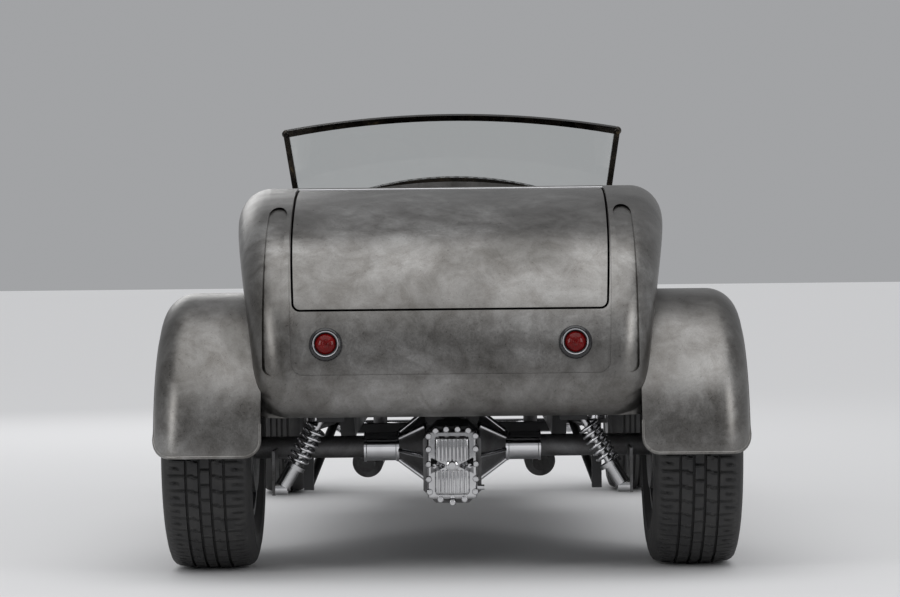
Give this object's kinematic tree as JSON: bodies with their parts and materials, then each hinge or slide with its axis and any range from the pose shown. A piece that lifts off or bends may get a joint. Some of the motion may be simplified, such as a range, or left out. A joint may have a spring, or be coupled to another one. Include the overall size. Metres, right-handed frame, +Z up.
{
  "type": "street rod roadster",
  "caption": "Bare-steel open two-seat street rod with bobbed rear fenders, quick-change rear axle, hinged doors, deck lid and hood, and steered front wheels.",
  "frame": {"origin": "on the ground under the middle of the car's length and width", "axes": "+X forward, +Y to the driver's left, +Z up"},
  "size_m": [3.4715, 1.652, 1.3841],
  "materials": {
    "bare_steel": "bare rolled steel, hand sanded and clear sealed",
    "satin_steel": "satin",
    "chrome": "plated",
    "red_lens": "moulded red lens",
    "dark_paint": "satin black paint",
    "gauge_face": "cream dial face",
    "dark_brass": "dark plated brass",
    "glass": "flat laminated pane",
    "glass_clear": "domed clear lens",
    "cast_grey": "as cast",
    "polished_aluminium": "polished",
    "gloss_black": "gloss",
    "leather": "dark hide, stitched pleats",
    "tyre": "treaded rubber",
    "wheel_paint": "satin dark"
  },
  "bodies": {
    "chassis": {"body_rear": "bare_steel", "hinge_rods": "satin_steel", "tail_lamp_bezels": "chrome", "tail_lamp_lenses": "red_lens", "cowl": "bare_steel", "firewall": "dark_paint", "dash_panel": "bare_steel", "gauges": "gauge_face", "hood_sides": "bare_steel", "grille_shell": "bare_steel", "grille_bars": "chrome", "radiator": "dark_paint", "windshield_frame": "dark_brass", "windshield_glass": "glass", "rear_fender_left": "bare_steel", "rear_fender_right": "bare_steel", "frame_rails": "dark_paint", "frame_crossmembers": "dark_paint", "floor_panels": "dark_paint", "rear_axle_housing": "cast_grey", "quick_change_cover": "polished_aluminium", "coil_over_dampers": "polished_aluminium", "coil_over_springs": "chrome", "radius_arms": "dark_paint", "front_axle": "chrome", "front_spring": "dark_paint", "hairpin_rods": "chrome", "steering_column": "dark_paint", "engine_block": "cast_grey", "gearbox_and_shaft": "cast_grey", "exhaust_pipes": "satin_steel", "headlamp_shells": "chrome", "headlamp_lenses": "glass_clear", "seat_cushion": "leather", "seat_back": "leather", "pedals_and_lever": "satin_steel"},
    "door_left": {"door_left": "bare_steel"},
    "door_right": {"door_right": "bare_steel"},
    "deck_lid": {"deck_lid": "bare_steel"},
    "hood_top_left": {"hood_top_left": "bare_steel"},
    "hood_top_right": {"hood_top_right": "bare_steel"},
    "knuckle_left": {"knuckle_left": "cast_grey", "front_fender_left": "bare_steel"},
    "knuckle_right": {"knuckle_right": "cast_grey", "front_fender_right": "bare_steel"},
    "tie_rod": {"tie_rod": "chrome"},
    "front_wheel_left": {"tyre_front_left": "tyre", "wheel_front_left": "wheel_paint"},
    "front_wheel_right": {"tyre_front_right": "tyre", "wheel_front_right": "wheel_paint"},
    "rear_wheel_left": {"tyre_rear_left": "tyre", "wheel_rear_left": "wheel_paint"},
    "rear_wheel_right": {"tyre_rear_right": "tyre", "wheel_rear_right": "wheel_paint"},
    "steering_wheel": {"steering_wheel": "gloss_black"}
  },
  "joints": [
    {"name": "steer_left", "type": "hinge", "parent": "chassis", "child": "knuckle_left", "pos_m": [1.42, 0.545, 0.31], "axis": [0, 0, 1], "range_deg": [-30, 30]},
    {"name": "steer_right", "type": "hinge", "parent": "chassis", "child": "knuckle_right", "pos_m": [1.42, -0.545, 0.31], "axis": [0, 0, 1], "range_deg": [-30, 30]},
    {"name": "tie_rod_pivot", "type": "hinge", "parent": "knuckle_left", "child": "tie_rod", "pos_m": [1.28, 0.545, 0.228], "axis": [0, 0, 1], "range_deg": [-30, 30]},
    {"name": "steering_wheel_turn", "type": "hinge", "parent": "chassis", "child": "steering_wheel", "pos_m": [-0.23, 0.29, 0.945], "axis": [-0.9063, 0, 0.4225], "range_deg": [-360, 360]},
    {"name": "front_wheel_left_spin", "type": "hinge", "parent": "knuckle_left", "child": "front_wheel_left", "pos_m": [1.42, 0.665, 0.31], "axis": [0, 1, 0], "continuous": true},
    {"name": "front_wheel_right_spin", "type": "hinge", "parent": "knuckle_right", "child": "front_wheel_right", "pos_m": [1.42, -0.665, 0.31], "axis": [0, 1, 0], "continuous": true},
    {"name": "rear_wheel_left_spin", "type": "hinge", "parent": "chassis", "child": "rear_wheel_left", "pos_m": [-1.27, 0.688, 0.345], "axis": [0, 1, 0], "continuous": true},
    {"name": "rear_wheel_right_spin", "type": "hinge", "parent": "chassis", "child": "rear_wheel_right", "pos_m": [-1.27, -0.688, 0.345], "axis": [0, 1, 0], "continuous": true},
    {"name": "door_left_swing", "type": "hinge", "parent": "chassis", "child": "door_left", "pos_m": [0.047, 0.608, 0.77], "axis": [0, 0, -1], "range_deg": [0, 65]},
    {"name": "door_right_swing", "type": "hinge", "parent": "chassis", "child": "door_right", "pos_m": [0.047, -0.608, 0.77], "axis": [0, 0, 1], "range_deg": [0, 65]},
    {"name": "deck_lid_swing", "type": "hinge", "parent": "chassis", "child": "deck_lid", "pos_m": [-0.9557, 0, 1.09795], "axis": [0, 1, 0], "range_deg": [0, 60]},
    {"name": "hood_left_swing", "type": "hinge", "parent": "chassis", "child": "hood_top_left", "pos_m": [0.61, 0, 1.11211], "axis": [0.9876, 0, -0.1569], "range_deg": [0, 70]},
    {"name": "hood_right_swing", "type": "hinge", "parent": "chassis", "child": "hood_top_right", "pos_m": [0.61, 0, 1.11211], "axis": [-0.9876, 0, 0.1569], "range_deg": [0, 70]}
  ],
  "couplings": [
    {"joint": "steer_right", "follows": "steer_left", "ratio": 1},
    {"joint": "tie_rod_pivot", "follows": "steer_left", "ratio": -1},
    {"joint": "steering_wheel_turn", "follows": "steer_left", "ratio": 12}
  ]
}
